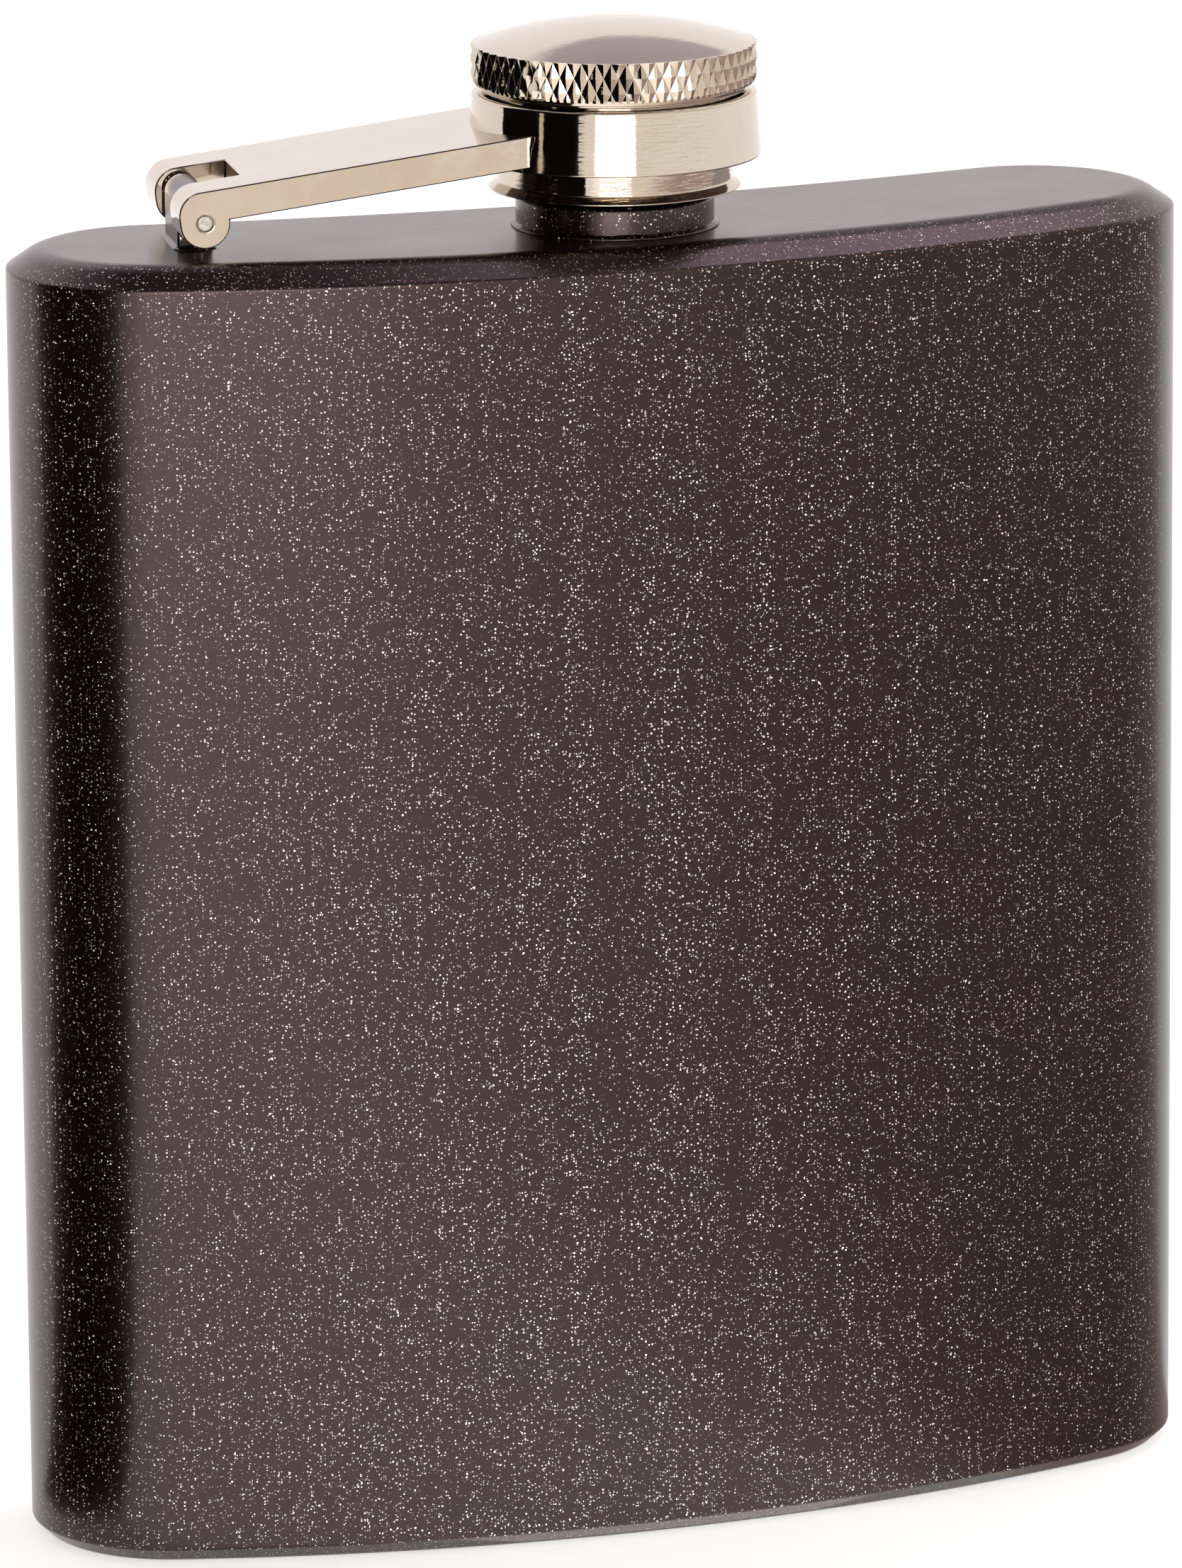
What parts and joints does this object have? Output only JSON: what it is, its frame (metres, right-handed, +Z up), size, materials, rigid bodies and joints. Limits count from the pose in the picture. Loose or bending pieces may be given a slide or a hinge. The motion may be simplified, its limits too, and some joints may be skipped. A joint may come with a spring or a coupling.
{
  "type": "hip flask",
  "caption": "Kidney-section pocket flask with bevelled top and base, threaded neck and a knurled screw cap held captive on a hinged swing arm.",
  "frame": {"origin": "middle of the flat underside, at the middle of the whole object's width and depth", "axes": "+X along the width, towards the end away from the hinge; -Y out of the convex front face; +Z up out of the neck"},
  "size_m": [0.091, 0.027, 0.1138],
  "materials": {
    "glitter_coat": "satin charcoal powder coat with silver flake",
    "bright_nickel": "polished, warm bright nickel",
    "pin_steel": "cut and cleaned pin ends",
    "black_seal": "matt"
  },
  "bodies": {
    "flask": {"front_panel": "glitter_coat", "back_panel": "glitter_coat", "top_plate": "glitter_coat", "bottom_plate": "glitter_coat", "neck": "glitter_coat", "neck_weld": "glitter_coat", "hinge_lug": "glitter_coat", "lug_weld": "glitter_coat"},
    "arm": {"swing_arm": "bright_nickel", "hinge_pin": "pin_steel"},
    "seal": {"cap_seal": "black_seal"},
    "cap": {"cap_head": "bright_nickel", "cap_barrel": "bright_nickel"}
  },
  "joints": [
    {"name": "arm_hinge", "type": "hinge", "parent": "flask", "child": "arm", "pos_m": [-0.03192, 0.00231, 0.1012], "axis": [-0.1184, -0.993, 0], "range_deg": [0, 172]},
    {"name": "cap_rise", "type": "slide", "parent": "arm", "child": "seal", "axis": [0, 0, 1], "range_m": [0, 0.0019]},
    {"name": "cap_turn", "type": "hinge", "parent": "seal", "child": "cap", "pos_m": [0, -0.00149, 0.1055], "axis": [0, 0, 1], "range_deg": [0, 450]}
  ],
  "couplings": [
    {"joint": "cap_rise", "follows": "cap_turn", "m_per_rad": 0.00023873}
  ]
}
